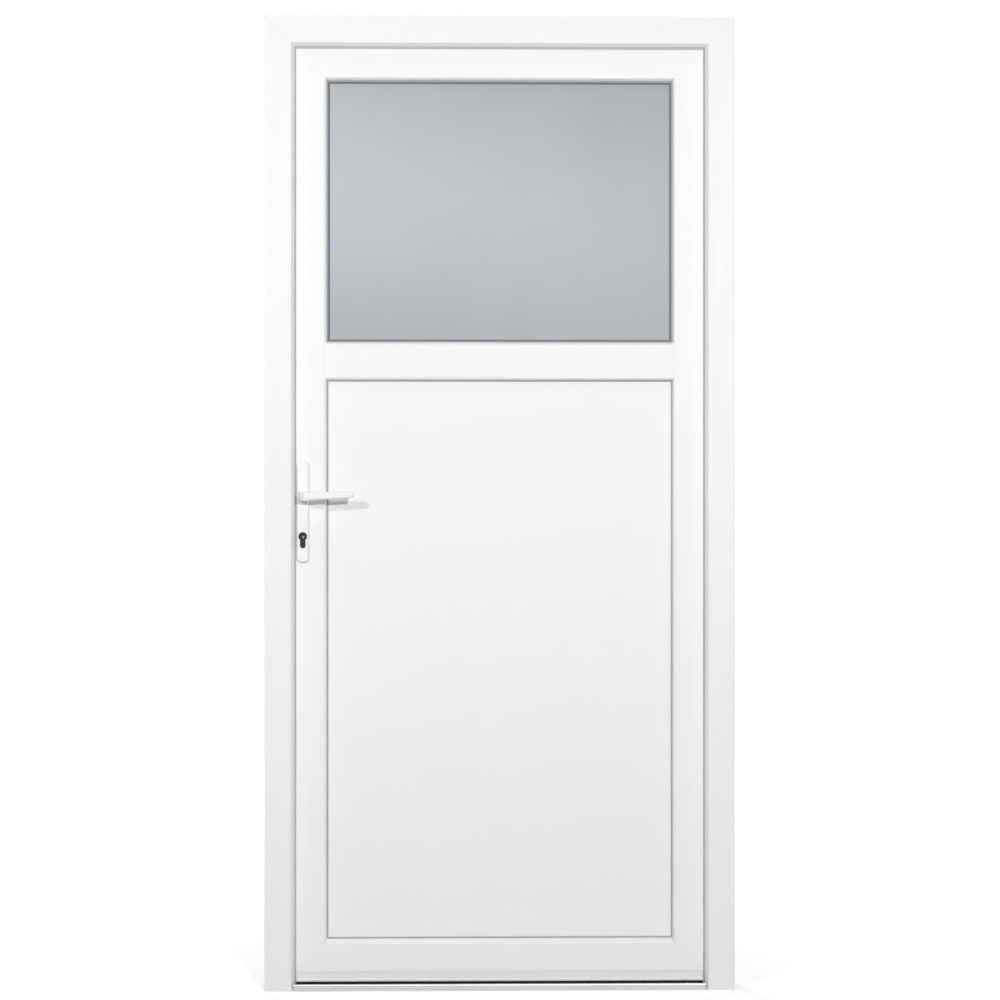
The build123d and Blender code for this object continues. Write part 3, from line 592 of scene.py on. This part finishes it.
brush_low, brush_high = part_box("bottom_brush")
brush_size = brush_high - brush_low
bristles_tree, bristle_keys = bristle_tree(nylon("black_nylon"))
bristles = grown_mesh("brush_bristles", bpy.data.meshes.new("brush_start"), bristles_tree, bristle_keys, {
    "Length": brush_size.x - 2 * BRISTLE_JITTER - BRISTLE_THICKNESS,
    "Width": brush_size.y - 2 * BRISTLE_JITTER - BRISTLE_THICKNESS,
    "Drop": brush_size.z,
    "Thickness": BRISTLE_THICKNESS,
    "Rows": BRISTLE_ROWS,
    "Bristles a Row": BRISTLES_A_ROW,
    "Jitter": (BRISTLE_JITTER, BRISTLE_JITTER, 0.0),
    "Lean": (BRISTLE_LEAN, BRISTLE_LEAN, math.pi),
    "Seed": BRISTLE_SEED,
    "Middle of Root": (0.0, (brush_low.y + brush_high.y) / 2, brush_high.z),
})
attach(bristles, "leaf")
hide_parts("bottom_brush")


# Screws
# Countersunk steel screws with a cross recess, zinc plated, that hold strike plate, keeps, faceplate,
# hinges and the inner handle plate. The outer handle plate is held from inside and shows none.

SCREW_RADIUS = 0.0034
SCREW_RISE = 0.0005
SCREW_SINK = 0.0002
SCREW_SIDES = 28
RECESS_LENGTH = 0.0036
RECESS_WIDTH = 0.0009
RECESS_DEPTH = 0.0004
PLATE_END = 0.010
KEEP_LENGTH = 0.110
FACEPLATE_SCREWS = (0.195, 0.50, 0.80, 1.25, 1.55, 1.885)
HINGE_PLATE = 0.004
HINGE_SPREAD = 0.037
HINGE_FRAME_INSET = 0.0052
HINGE_LEAF_INSETS = (0.008, 0.024)
HANDLE_PLATE_INSET = 0.0175
SCREW_SEED = 3
TO_LEFT = (-1.0, 0.0, 0.0)
TO_RIGHT = (1.0, 0.0, 0.0)
TO_INSIDE = (0.0, 1.0, 0.0)


def screw_tree(material):
    """A screw head with a cross cut in it on each point, turned to face the point's own direction."""
    labels = ("Head Radius", "Rise", "Sink", "Recess Length", "Recess Width", "Recess Depth")
    sizes = {label: "Float" for label in labels}
    sizes["Seed"] = "Int"
    tree, given, keys = new_geometry_tree("screw_heads", sizes)
    height = calc(tree, "ADD", given["Rise"], given["Sink"])
    top_radius = calc(tree, "SUBTRACT", given["Head Radius"], given["Rise"])
    cone = add(tree, "GeometryNodeMeshCone", {
        "Vertices": SCREW_SIDES, "Depth": height,
        "Radius Top": top_radius, "Radius Bottom": given["Head Radius"],
    }).outputs["Mesh"]
    sunk = add(tree, "ShaderNodeCombineXYZ", {"Z": calc(tree, "MULTIPLY", given["Sink"], -1.0)}).outputs[0]
    head = add(tree, "GeometryNodeTransform", {"Geometry": cone, "Translation": sunk}).outputs[0]
    cut_height = calc(tree, "MULTIPLY", given["Recess Depth"], 2.0)
    cut_place = add(tree, "ShaderNodeCombineXYZ", {"Z": given["Rise"]}).outputs[0]
    recessed = add(tree, "GeometryNodeMeshBoolean", {"Mesh 1": head}, operation="DIFFERENCE")
    for x_size, y_size in (("Recess Length", "Recess Width"), ("Recess Width", "Recess Length")):
        wires = {"X": given[x_size], "Y": given[y_size], "Z": cut_height}
        size = add(tree, "ShaderNodeCombineXYZ", wires).outputs[0]
        cut = add(tree, "GeometryNodeMeshCube", {"Size": size}).outputs["Mesh"]
        placed = add(tree, "GeometryNodeTransform", {"Geometry": cut, "Translation": cut_place}).outputs[0]
        tree.links.new(placed, recessed.inputs["Mesh 2"])
    wires = {2: 0.0, 3: math.pi, "Seed": given["Seed"]}
    roll = add(tree, "FunctionNodeRandomValue", wires, data_type="FLOAT").outputs[1]
    wires = {"Axis": (0.0, 0.0, 1.0), "Angle": roll}
    spun = add(tree, "FunctionNodeAxisAngleToRotation", wires).outputs[0]
    wires = {"Name": "facing"}
    facing = add(tree, "GeometryNodeInputNamedAttribute", wires, data_type="FLOAT_VECTOR").outputs[0]
    wires = {"Rotation": spun, "Vector": facing}
    turned = add(tree, "FunctionNodeAlignRotationToVector", wires, axis="Z").outputs[0]
    heads = add(tree, "GeometryNodeInstanceOnPoints", {
        "Points": given["Geometry"], "Instance": recessed.outputs[0], "Rotation": turned,
    }).outputs[0]
    end_tree(tree, heads, material)
    return tree, keys


def screw_points(name, spots):
    """A mesh of loose points, each with the direction that its screw faces."""
    mesh = bpy.data.meshes.new(name)
    mesh.from_pydata([spot for spot, facing in spots], [], [])
    directions = mesh.attributes.new("facing", "FLOAT_VECTOR", "POINT")
    for item, (spot, facing) in zip(directions.data, spots):
        item.vector = facing
    return mesh


strike_low, strike_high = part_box("strike_plate")
keeps_low, keeps_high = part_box("bolt_keeps")
jamb_heights = [strike_low.z + PLATE_END, (strike_low.z + strike_high.z) / 2, strike_high.z - PLATE_END]
for keep_end, step in ((keeps_low.z, 1), (keeps_high.z, -1)):
    jamb_heights += [keep_end + step * PLATE_END, keep_end + step * (KEEP_LENGTH - PLATE_END)]
strike_y = (strike_low.y + strike_high.y) / 2
frame_spots = [((strike_high.x, strike_y, z), TO_RIGHT) for z in jamb_heights]
face_low, face_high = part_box("lock_faceplate")
leaf_spots = [((face_low.x, (face_low.y + face_high.y) / 2, z), TO_LEFT) for z in FACEPLATE_SCREWS]
handle_low, handle_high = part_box("inner_handle_plate")
for z in (handle_low.z + HANDLE_PLATE_INSET, handle_high.z - HANDLE_PLATE_INSET):
    leaf_spots.append((((handle_low.x + handle_high.x) / 2, handle_high.y, z), TO_INSIDE))
jamb_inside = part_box("frame_hinge_jamb")[1].y + HINGE_PLATE
stile_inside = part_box("hinge_stile")[1].y + HINGE_PLATE
for place_name in ("lower", "middle", "upper"):
    half_low, half_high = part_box("hinge_frame_half_" + place_name)
    leaf_half_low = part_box("hinge_leaf_half_" + place_name)[0]
    hinge_z = (half_low.z + half_high.z) / 2
    for z in (hinge_z - HINGE_SPREAD, hinge_z + HINGE_SPREAD):
        frame_spots.append(((half_high.x - HINGE_FRAME_INSET, jamb_inside, z), TO_INSIDE))
        leaf_spots += [((leaf_half_low.x + inset, stile_inside, z), TO_INSIDE) for inset in HINGE_LEAF_INSETS]
heads_tree, head_keys = screw_tree(zinc)
for body, spots in (("frame", frame_spots), ("leaf", leaf_spots)):
    points = screw_points(body + "_screw_points", spots)
    screws = grown_mesh(body + "_screws", points, heads_tree, head_keys, {
        "Head Radius": SCREW_RADIUS,
        "Rise": SCREW_RISE,
        "Sink": SCREW_SINK,
        "Recess Length": RECESS_LENGTH,
        "Recess Width": RECESS_WIDTH,
        "Recess Depth": RECESS_DEPTH,
        "Seed": SCREW_SEED,
    })
    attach(screws, body)


# Floor, lamps and camera
# A plain white floor under the threshold that runs out to white away from the door, two studio lamps in
# front, a wide soft one above, two behind, and a camera level with the middle of the door.

FLOOR_SIZE = 16.0
GLOW_NEAR = 0.54
GLOW_FAR = 1.0
GLOW_START = 0.6
GLOW_END = 3.0
FLOOR_WHITE = (0.62, 0.62, 0.62, 1.0)
AMBIENT = (0.155, 0.155, 0.159, 1.0)
BACKGROUND_WHITE = (1.0, 1.0, 1.0, 1.0)
CAMERA_DISTANCE = 4.3
CAMERA_HEIGHT = 1.0425
CAMERA_SIDE = -0.065
CAMERA_LENS = 72.9
FRAME_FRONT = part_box("frame_head")[0].y
LAMPS = {
    "key_lamp": ((1.40, -6.5, 2.40), 209.0, 0.28),
    "side_lamp": ((-1.35, -2.5, 1.90), 21.0, 0.2),
    "top_lamp": ((0.0, -4.0, 8.0), 88.0, 4.0),
    "rear_key_lamp": ((-1.1, 3.2, 1.9), 50.0, 0.7),
    "rear_side_lamp": ((1.7, 3.3, 1.8), 36.0, 0.7),
}


def background_rays(tree):
    """1 for rays that show the background: from the camera, and by way of metal or glass."""
    path = add(tree, "ShaderNodeLightPath")
    seen = calc(tree, "MAXIMUM", path.outputs["Is Camera Ray"], path.outputs["Is Glossy Ray"])
    return calc(tree, "MAXIMUM", seen, path.outputs["Is Transmission Ray"])


def studio_floor():
    material = bpy.data.materials.new("studio_floor")
    material.use_nodes = True
    tree = material.node_tree
    tree.nodes.clear()
    paint = add(tree, "ShaderNodeBsdfDiffuse", {"Color": FLOOR_WHITE}).outputs[0]
    place = add(tree, "ShaderNodeTexCoord").outputs["Object"]
    from_door = add(tree, "ShaderNodeVectorMath", {0: place}, operation="LENGTH").outputs["Value"]
    wires = {
        "Value": from_door, "From Min": GLOW_START, "From Max": GLOW_END,
        "To Min": GLOW_NEAR, "To Max": GLOW_FAR,
    }
    strength = add(tree, "ShaderNodeMapRange", wires).outputs[0]
    glow = add(tree, "ShaderNodeEmission", {"Strength": strength}).outputs[0]
    lit = add(tree, "ShaderNodeAddShader", {0: paint, 1: glow}).outputs[0]
    shown = add(tree, "ShaderNodeMixShader", {0: background_rays(tree), 1: paint, 2: lit}).outputs[0]
    add(tree, "ShaderNodeOutputMaterial", {"Surface": shown})
    half = FLOOR_SIZE / 2
    mesh = bpy.data.meshes.new("studio_floor")
    corners = [(-half, -half, 0), (half, -half, 0), (half, half, 0), (-half, half, 0)]
    mesh.from_pydata(corners, [], [(0, 1, 2, 3)])
    mesh.materials.append(material)
    floor = bpy.data.objects.new("studio_floor", mesh)
    bpy.context.scene.collection.objects.link(floor)


def studio_world():
    world = bpy.data.worlds.new("studio_world")
    bpy.context.scene.world = world
    world.use_nodes = True
    tree = world.node_tree
    tree.nodes.clear()
    ambient = add(tree, "ShaderNodeBackground", {"Color": AMBIENT}).outputs[0]
    white = add(tree, "ShaderNodeBackground", {"Color": BACKGROUND_WHITE}).outputs[0]
    shown = add(tree, "ShaderNodeMixShader", {0: background_rays(tree), 1: ambient, 2: white}).outputs[0]
    add(tree, "ShaderNodeOutputWorld", {"Surface": shown})


def studio_lamp(name, place, power, width):
    lamp = bpy.data.lights.new(name, "AREA")
    lamp.shape = "DISK"
    lamp.size = width
    lamp.energy = power
    lit = bpy.data.objects.new(name, lamp)
    lit.visible_camera = False
    target = (cad_low + cad_high) / 2
    lit.location = place
    lit.rotation_mode = "QUATERNION"
    lit.rotation_quaternion = (target - lit.location).to_track_quat("-Z", "Y")
    bpy.context.scene.collection.objects.link(lit)


studio_floor()
studio_world()
for lamp_name, (lamp_place, lamp_power, lamp_width) in LAMPS.items():
    studio_lamp(lamp_name, lamp_place, lamp_power, lamp_width)
camera_data = bpy.data.cameras.new("camera")
camera_data.lens = CAMERA_LENS
camera = bpy.data.objects.new("camera", camera_data)
camera.location = (CAMERA_SIDE, FRAME_FRONT - CAMERA_DISTANCE, CAMERA_HEIGHT)
camera.rotation_euler = (math.pi / 2, 0.0, math.atan(CAMERA_SIDE / CAMERA_DISTANCE))
bpy.context.scene.collection.objects.link(camera)
bpy.context.scene.camera = camera
bpy.context.scene.view_settings.view_transform = "Standard"
